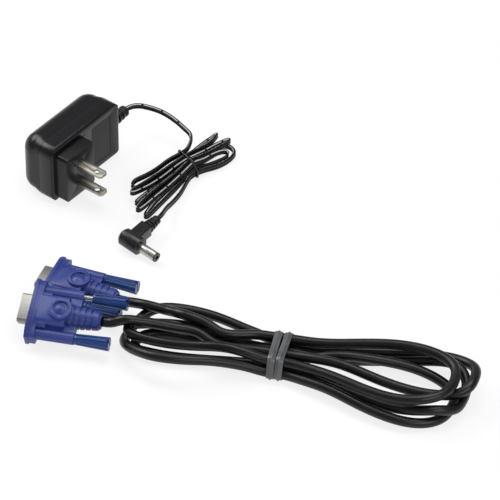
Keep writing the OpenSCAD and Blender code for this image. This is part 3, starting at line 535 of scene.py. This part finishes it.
def ball_cornered_case():
    """The adapter's rear shell with ball-shaped back corners: hollow, open at the seam, a hole for the lead."""
    form = bmesh.new()
    bmesh.ops.create_cube(form, size=1)
    bmesh.ops.subdivide_edges(form, edges=form.edges[:], cuts=CASE_CUTS, use_grid_fill=True)
    seam = [face for face in form.faces if all(v.co.y < -0.499 for v in face.verts)]
    bmesh.ops.delete(form, geom=seam, context="FACES")
    for vert in form.verts:
        deep = CASE_SEAM + (vert.co.y + 0.5) * (CASE_BACK - CASE_SEAM)
        x, y, z = rounded_case_point(vert.co.x * CASE_L, deep, vert.co.z * CASE_H)
        vert.co = [value * MM for value in (*turned(x, y, ADAPTER_TURN), z + CASE_H / 2)]
    mesh = bpy.data.meshes.new("adapter_case_rear")
    form.to_mesh(mesh)
    form.free()
    piece = bpy.data.objects.new(mesh.name, mesh)
    bpy.context.scene.collection.objects.link(piece)
    wall = piece.modifiers.new("wall", "SOLIDIFY")
    wall.thickness, wall.offset, wall.use_even_offset = CASE_WALL * MM, -1, True
    apply_all(piece)
    drill = lead_drill()
    hole = piece.modifiers.new("lead_hole", "BOOLEAN")
    hole.operation, hole.solver, hole.object = "DIFFERENCE", "EXACT", drill
    rim = piece.modifiers.new("rounded_rim", "BEVEL")
    rim.width, rim.segments = CASE_RIM_R * MM, 2
    rim.limit_method, rim.angle_limit = "ANGLE", math.radians(50)
    apply_all(piece)
    bpy.data.objects.remove(drill)
    bpy.ops.object.shade_smooth_by_angle(angle=math.radians(35))
    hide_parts("adapter_rear_shell")
    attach(piece, frame["nodes"]["adapter_rear_shell"]["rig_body"])
    return piece


def hull_loop(centres, radius, count):
    """A taut loop round circles of one radius, in the plane, as evenly spaced points."""
    turns = [math.tau * k / 48 for k in range(48)]
    cloud = sorted((cx + radius * math.cos(a), cy + radius * math.sin(a)) for cx, cy in centres for a in turns)

    def bends_in(a, b, c):
        return (b[0] - a[0]) * (c[1] - a[1]) <= (b[1] - a[1]) * (c[0] - a[0])

    def half(points):
        chain = []
        for p in points:
            while len(chain) > 1 and bends_in(chain[-2], chain[-1], p):
                chain.pop()
            chain.append(p)
        return chain[:-1]

    loop = np.array(half(cloud) + half(cloud[::-1]))
    loop = np.vstack([loop, loop[:1]])
    run = np.r_[0, np.cumsum(np.linalg.norm(np.diff(loop, axis=0), axis=1))]
    marks = np.linspace(0, run[-1], count, endpoint=False)
    return np.stack([np.interp(marks, run, loop[:, k]) for k in range(2)], axis=1)


def band_round(name, centre, turn, centres, radius, outline, beside, lean=0.0, count=96):
    """A band of a given outline (along the cord, outwards) laid round a bundle at its waist."""
    loop = hull_loop(centres, radius, count)
    n, m = len(loop), len(outline)
    forward = np.roll(loop, -1, axis=0) - np.roll(loop, 1, axis=0)
    forward /= np.linalg.norm(forward, axis=1)[:, None]
    outward = np.stack([forward[:, 1], -forward[:, 0]], axis=1)
    points = []
    for i in range(n):
        for a, b in outline:
            across, z = loop[i] + outward[i] * b
            x, y = turned(beside + a + lean * across, across, turn)
            points.append(((centre[0] + x) * MM, (centre[1] + y) * MM, z * MM))
    faces = [
        (i * m + k, i * m + (k + 1) % m, (i + 1) % n * m + (k + 1) % m, (i + 1) % n * m + k)
        for i in range(n)
        for k in range(m)
    ]
    mesh = bpy.data.meshes.new(name)
    mesh.from_pydata(points, [], faces)
    return smooth_piece(name, mesh)


# The grey twist tie: a plastic ribbon with a wire in its middle, wound twice round the cable.
RIBBON = [(-2.1, 0), (-2.1, 0.3), (-1.9, 0.45), (-0.75, 0.5), (-0.5, 0.95), (0, 1.05), (0.5, 0.95)]
RIBBON += [(0.75, 0.5), (1.9, 0.45), (2.1, 0.3), (2.1, 0)]
waist_circles = [slot_of(run) for run in range(8)]
tie_wraps = [
    band_round(name, WAIST, WAIST_TURN, waist_circles, CABLE_D / 2 + 0.12, RIBBON, beside, lean)
    for name, beside, lean in (("twist_tie_left_wrap", -2.5, -0.01), ("twist_tie_right_wrap", 2.5, 0.035))
]
for wrap in tie_wraps:
    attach(wrap, "set")
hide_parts("cable_tie")

# The black wire tie round the DC hank.
WIRE = [(0.5 * math.cos(math.tau * k / 10), 0.55 + 0.5 * math.sin(math.tau * k / 10)) for k in range(10)]
dc_circles = [(dc_slot(run)[0], dc_slot(run)[1] + s * (DC_W - DC_T) / 2) for run in range(11) for s in (-1, 1)]
dc_wire_tie = band_round("dc_wire_tie", DC_WAIST, DC_TURN, dc_circles, DC_T / 2 + 0.1, WIRE, 0, 0.1)
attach(dc_wire_tie, "set")
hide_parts("dc_tie")

# Each softened node: the name of its piece, and the radius of its edges in mm.
SOFT_EDGES = {
    "adapter_front_shell": ("adapter_front_cover", 0.35),
    "mains_blades": ("plug_blades", 0.2),
    "lead_strain_relief": ("adapter_cord_relief", 0.25),
    "dc_plug_grip": ("dc_plug_moulding", 0.4),
    "dc_plug_barrel": ("dc_plug_sleeve", 0.1),
    "front_hood": ("front_plug_hood", 0.45),
    "rear_hood": ("rear_plug_hood", 0.45),
    "front_face_shell": ("front_plug_shell", 0.12),
    "rear_face_shell": ("rear_plug_shell", 0.12),
}
GRIP_EDGE_R = 0.12
covers = {node: softened(node, name, radius * MM) for node, (name, radius) in SOFT_EDGES.items()}
covers["adapter_rear_shell"] = ball_cornered_case()
for plug in ("front", "rear"):
    for side in ("upper", "lower"):
        node = f"{plug}_{side}_grip"
        covers[node] = softened(node, f"{plug}_{side}_thumb_grip", GRIP_EDGE_R * MM, angle=30, segments=1)

for cord, nodes in (
    (display_cable, ("cable_front_lead", "cable_rear_lead", "cable_hank")),
    (dc_cord, ("dc_lead", "dc_hank", "dc_lead_tail")),
):
    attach(cord, "set")
    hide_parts(*nodes)


# ---------------------------------------------------------------- materials


def linear(code):
    """A hex colour as the linear colour that a shader takes."""
    parts = [int(code[i : i + 2], 16) / 255 for i in (1, 3, 5)]
    return (*[p / 12.92 if p <= 0.04045 else ((p + 0.055) / 1.055) ** 2.4 for p in parts], 1)


def add(tree, kind, fields=None, values=None, links=None):
    """A node of that kind with its own fields, its sockets' values and its links, both by socket name or number."""
    node = tree.nodes.new(kind)
    for name, value in (fields or {}).items():
        setattr(node, name, value)
    for socket, value in (values or {}).items():
        node.inputs[socket].default_value = value
    for socket, source in (links or {}).items():
        tree.links.new(source, node.inputs[socket])
    return node


def started(name, **shader):
    """A new material with its shader; gives the material, its tree and the shader node."""
    material = bpy.data.materials.new(name)
    material.use_nodes = True
    tree = material.node_tree
    principled = tree.nodes["Principled BSDF"]
    for socket, value in shader.items():
        principled.inputs[socket.replace("_", " ")].default_value = value
    return material, tree, principled


COLOUR_MIX = {"data_type": "RGBA"}


def two_tones(tree, low, high, share):
    """Two close colours, mixed by the middle of a noise."""
    tone = add(tree, "ShaderNodeMapRange", None, {"From Min": 0.35, "From Max": 0.65}, {"Value": share})
    colours = {6: linear(low), 7: linear(high)}
    return add(tree, "ShaderNodeMix", COLOUR_MIX, colours, {0: tone.outputs["Result"]}).outputs[2]


def surfaced(tree, shader, colour, gloss, share, depth, distance_mm, height):
    """The shader's colour, its roughness from the dull to the bright end of a noise, and a fine bump."""
    rough = {"From Min": 0.3, "From Max": 0.7, "To Min": gloss[0], "To Max": gloss[1]}
    sheen = add(tree, "ShaderNodeMapRange", None, rough, {"Value": share})
    size = {"Strength": depth, "Distance": distance_mm * MM}
    bump = add(tree, "ShaderNodeBump", None, size, {"Height": height})
    tree.links.new(colour, shader.inputs["Base Color"])
    tree.links.new(sheen.outputs["Result"], shader.inputs["Roughness"])
    tree.links.new(bump.outputs["Normal"], shader.inputs["Normal"])


def moulded(name, low, high, gloss, texture_mm, depth, ior=1.53, cloud_mm=9.0):
    """A moulded plastic: two close tones in slow clouds, and the tool's fine texture as bump and gloss."""
    material, tree, shader = started(name, IOR=ior)
    place = add(tree, "ShaderNodeTexCoord").outputs["Object"]
    cloud = add(tree, "ShaderNodeTexNoise", None, {"Scale": 1 / (cloud_mm * MM), "Detail": 3.0}, {"Vector": place})
    grain = add(tree, "ShaderNodeTexNoise", None, {"Scale": 1 / (texture_mm * MM), "Detail": 2.0}, {"Vector": place})
    colour = two_tones(tree, low, high, cloud.outputs["Fac"])
    rough = (gloss - 0.05, gloss + 0.06)
    surfaced(tree, shader, colour, rough, grain.outputs["Fac"], depth, 0.05, grain.outputs["Fac"])
    return material


def plated(name, low, high, gloss, streak_mm=0.5, turn=0.0):
    """A plated metal: faint streaks of the rolled or drawn surface under the plating."""
    material, tree, shader = started(name, Metallic=1.0)
    place = add(tree, "ShaderNodeTexCoord").outputs["Object"]
    stretch = {"Rotation": (0, 0, turn), "Scale": (1 / (12 * MM), 1 / (streak_mm * MM), 1 / (streak_mm * MM))}
    mapped = add(tree, "ShaderNodeMapping", None, stretch, {"Vector": place})
    streak = add(tree, "ShaderNodeTexNoise", None, {"Scale": 1.0, "Detail": 3.0}, {"Vector": mapped.outputs["Vector"]})
    colour = two_tones(tree, low, high, streak.outputs["Fac"])
    rough = (gloss - 0.03, gloss + 0.04)
    surfaced(tree, shader, colour, rough, streak.outputs["Fac"], 0.03, 0.02, streak.outputs["Fac"])
    return material


def dashed(tree, uv, colour, code, middle, half, dash_mm):
    """The colour with one dashed line of another along the cord."""
    axes = add(tree, "ShaderNodeSeparateXYZ", None, None, {"Vector": uv})
    near = add(tree, "ShaderNodeMath", {"operation": "COMPARE"}, {1: middle, 2: half}, {0: axes.outputs["X"]})
    beat = add(tree, "ShaderNodeMath", {"operation": "MODULO"}, {1: dash_mm * MM}, {0: axes.outputs["Y"]})
    printed = {1: DASH_SHARE * dash_mm * MM}
    inked = add(tree, "ShaderNodeMath", {"operation": "LESS_THAN"}, printed, {0: beat.outputs[0]})
    factors = {0: near.outputs[0], 1: inked.outputs[0]}
    both = add(tree, "ShaderNodeMath", {"operation": "MULTIPLY"}, None, factors)
    return add(tree, "ShaderNodeMix", COLOUR_MIX, {7: linear(code)}, {0: both.outputs[0], 6: colour}).outputs[2]


DASH_SHARE = 0.88


def jacket(name, low, high, gloss, stripe=None):
    """Extruded soft PVC: faint lengthwise die lines, slow dull patches, and on a twin lead one dashed pale line.

    stripe: its colour, its place and half width round the outline, and the length of a dash with its gap in mm.
    """
    material, tree, shader = started(name, IOR=1.4)
    uv = add(tree, "ShaderNodeUVMap", {"uv_map": "around_and_along"}).outputs["UV"]
    lines = add(tree, "ShaderNodeMapping", None, {"Scale": (24.0, 18.0, 1.0)}, {"Vector": uv})
    die = add(tree, "ShaderNodeTexNoise", None, {"Scale": 1.0, "Detail": 2.0}, {"Vector": lines.outputs["Vector"]})
    place = add(tree, "ShaderNodeTexCoord").outputs["Object"]
    patch = add(tree, "ShaderNodeTexNoise", None, {"Scale": 1 / (14 * MM), "Detail": 2.0}, {"Vector": place})
    colour = two_tones(tree, low, high, patch.outputs["Fac"])
    if stripe:
        colour = dashed(tree, uv, colour, *stripe)
    rough = (gloss - 0.05, gloss + 0.07)
    surfaced(tree, shader, colour, rough, patch.outputs["Fac"], 0.12, 0.05, die.outputs["Fac"])
    return material


# Injection-moulded ABS, spark-eroded tool with a fine satin: near black with a clear highlight on its edges.
# The index of this plastic, of the label and of the jackets is set low, to keep the white table out of them.
case_abs = moulded("moulded_abs_satin_black", "#0C0C0F", "#101014", 0.3, 0.35, 0.12, 1.38)
# Matt printed-label film, left blank.
label_film = moulded("blank_label_film", "#121216", "#16161A", 0.45, 0.25, 0.1, 1.38)
# Nickel-plated brass strip, stamped: warm grey with faint rolling lines.
blade_nickel = plated("nickel_plated_brass_strip", "#A8A499", "#B0AB9F", 0.42, 0.5, math.radians(-ADAPTER_TURN))
# Turned and nickel-plated brass tube.
barrel_nickel = plated("nickel_plated_turned_brass", "#B6B4AE", "#BEBCB6", 0.34, 0.3)
# Tin-plated deep-drawn steel: soft, a little dull.
shell_tin = plated("tin_plated_drawn_steel", "#868480", "#92908B", 0.42, 0.8)
# Zinc-plated steel screw.
screw_zinc = plated("zinc_plated_steel_screw", "#B4B4B1", "#C4C4C0", 0.3, 0.3)
# Gold flash over brass.
pin_gold = plated("gold_flashed_brass_pin", "#C79A45", "#DDB565", 0.25, 0.3)
# Soft moulded PVC hood in violet blue: a low sheen that spreads over its curves.
hood_pvc = moulded("moulded_pvc_violet_blue", "#1F3078", "#263882", 0.42, 0.3, 0.12, 1.52, 14)
# Harder moulded grip in a cleaner blue, glossier than the hood.
grip_abs = moulded("moulded_abs_blue", "#12346F", "#183E7C", 0.26, 0.3, 0.08)
# Glass-filled polyester insulator.
insulator_pbt = moulded("moulded_pbt_blue", "#2A4E96", "#3159A4", 0.4, 0.2, 0.1, 1.55)
# Black phenolic insulator ring of the DC plug.
ring_plastic = moulded("moulded_phenolic_black", "#141416", "#1B1B1E", 0.35, 0.2, 0.1, 1.6)
# Soft black PVC of the plug mouldings and reliefs.
moulding_pvc = moulded("moulded_pvc_black", "#0C0C0E", "#121214", 0.32, 0.25, 0.1, 1.52)
# Extruded PVC jackets.
cable_pvc = jacket("extruded_pvc_black", "#09090A", "#0F0F11", 0.34)
lead_pvc = jacket("extruded_pvc_twin_black", "#09090B", "#0F0F11", 0.32, ("#B4B6BA", 0.14, 0.03, 12.0))
# Grey PVC ribbon of the twist tie.
tie_pvc = moulded("extruded_pvc_grey", "#4A4B4C", "#5C5D5F", 0.35, 0.3, 0.12)
wire_pvc = moulded("coated_wire_black", "#1A1A1C", "#242427", 0.4, 0.3, 0.1)
# Sealed inner pieces.
board_paper = moulded("phenolic_paper_board", "#A97F43", "#BC9150", 0.55, 0.4, 0.15, 1.55)
core_ferrite = moulded("sintered_ferrite", "#2C2C2F", "#37373A", 0.6, 0.3, 0.3, 2.0)
winding_tape = moulded("polyester_winding_tape", "#C8A13C", "#D6B14C", 0.35, 0.6, 0.1, 1.6)
sleeve_black = moulded("shrunk_pvc_sleeve", "#19191C", "#232327", 0.3, 0.3, 0.08)
resin_black = moulded("transfer_moulded_epoxy", "#1C1C1D", "#262627", 0.5, 0.2, 0.2, 1.6)
resistor_glaze = moulded("resistor_cement_coat", "#7D8B86", "#8E9C96", 0.45, 0.3, 0.2)
choke_wire = plated("enamelled_copper_wire", "#A5562A", "#BE6D3A", 0.3, 0.4)

FINISHES = {
    "rating_label": label_film,
    "blade_retainer": resin_black,
    "circuit_board": board_paper,
    "transformer_core": core_ferrite,
    "transformer_winding": winding_tape,
    "input_capacitors": sleeve_black,
    "output_capacitor": sleeve_black,
    "rectifier_bridge": resin_black,
    "fusible_resistor": resistor_glaze,
    "switching_transistor": resin_black,
    "choke": choke_wire,
    "dc_plug_insulator": ring_plastic,
    "dc_plug_contact": barrel_nickel,
}
for plug in ("front", "rear"):
    FINISHES[f"{plug}_insulator"] = insulator_pbt
    FINISHES[f"{plug}_back_shell"] = shell_tin
    FINISHES[f"{plug}_pins"] = pin_gold
    for side in ("upper", "lower"):
        FINISHES[f"{plug}_{side}_clip"] = screw_zinc
        FINISHES[f"{plug}_{side}_jackscrew"] = screw_zinc
COVER_FINISHES = {
    "adapter_rear_shell": case_abs,
    "adapter_front_shell": case_abs,
    "mains_blades": blade_nickel,
    "lead_strain_relief": moulding_pvc,
    "dc_plug_grip": moulding_pvc,
    "dc_plug_barrel": barrel_nickel,
    "front_hood": hood_pvc,
    "rear_hood": hood_pvc,
    "front_face_shell": shell_tin,
    "rear_face_shell": shell_tin,
}


def dress(piece, material):
    piece.data.materials.clear()
    piece.data.materials.append(material)


for node, material in FINISHES.items():
    dress(frame["nodes"][node], material)
for node, piece in covers.items():
    dress(piece, COVER_FINISHES.get(node, grip_abs))
dress(display_cable, cable_pvc)
dress(dc_cord, lead_pvc)
for wrap in tie_wraps:
    dress(wrap, tie_pvc)
dress(dc_wire_tie, wire_pvc)


# ---------------------------------------------------------------- table and world


def background_share(tree, weight):
    """How far a ray sees the plain white: the weight for camera, glossy and transmitted rays, else nothing."""
    path = add(tree, "ShaderNodeLightPath").outputs
    share = path["Is Camera Ray"]
    for ray in ("Is Glossy Ray", "Is Transmission Ray"):
        share = add(tree, "ShaderNodeMath", {"operation": "MAXIMUM"}, None, {0: share, 1: path[ray]}).outputs[0]
    return add(tree, "ShaderNodeMath", {"operation": "MULTIPLY"}, {1: weight}, {0: share}).outputs[0]


def lay_table():
    bpy.ops.object.select_all(action="DESELECT")
    bpy.ops.mesh.primitive_plane_add(size=8, location=(0.1, -0.07, -0.0002))
    table = bpy.context.active_object
    table.name = "table"
    material, tree, shader = started("white_studio_paper", Roughness=0.9)
    shader.inputs["Base Color"].default_value = linear("#F4F4F4")
    shader.inputs["Specular IOR Level"].default_value = 0.0
    white = add(tree, "ShaderNodeEmission", None, {"Color": (1, 1, 1, 1), "Strength": 1.0})
    parts = {0: background_share(tree, 0.8), 1: shader.outputs[0], 2: white.outputs[0]}
    mix = add(tree, "ShaderNodeMixShader", None, None, parts)
    tree.links.new(mix.outputs[0], tree.nodes["Material Output"].inputs["Surface"])
    dress(table, material)


def light_world():
    world = bpy.data.worlds.new("studio")
    bpy.context.scene.world = world
    world.use_nodes = True
    tree = world.node_tree
    soft = tree.nodes["Background"]
    soft.inputs["Color"].default_value, soft.inputs["Strength"].default_value = (1, 1, 1, 1), 0.3
    white = add(tree, "ShaderNodeBackground", None, {"Color": (1, 1, 1, 1), "Strength": 1.0})
    path = add(tree, "ShaderNodeLightPath")
    parts = {0: path.outputs["Is Camera Ray"], 1: soft.outputs[0], 2: white.outputs[0]}
    mix = add(tree, "ShaderNodeMixShader", None, None, parts)
    tree.links.new(mix.outputs[0], tree.nodes["World Output"].inputs["Surface"])


lay_table()
light_world()
bpy.context.scene.view_settings.view_transform = "Standard"
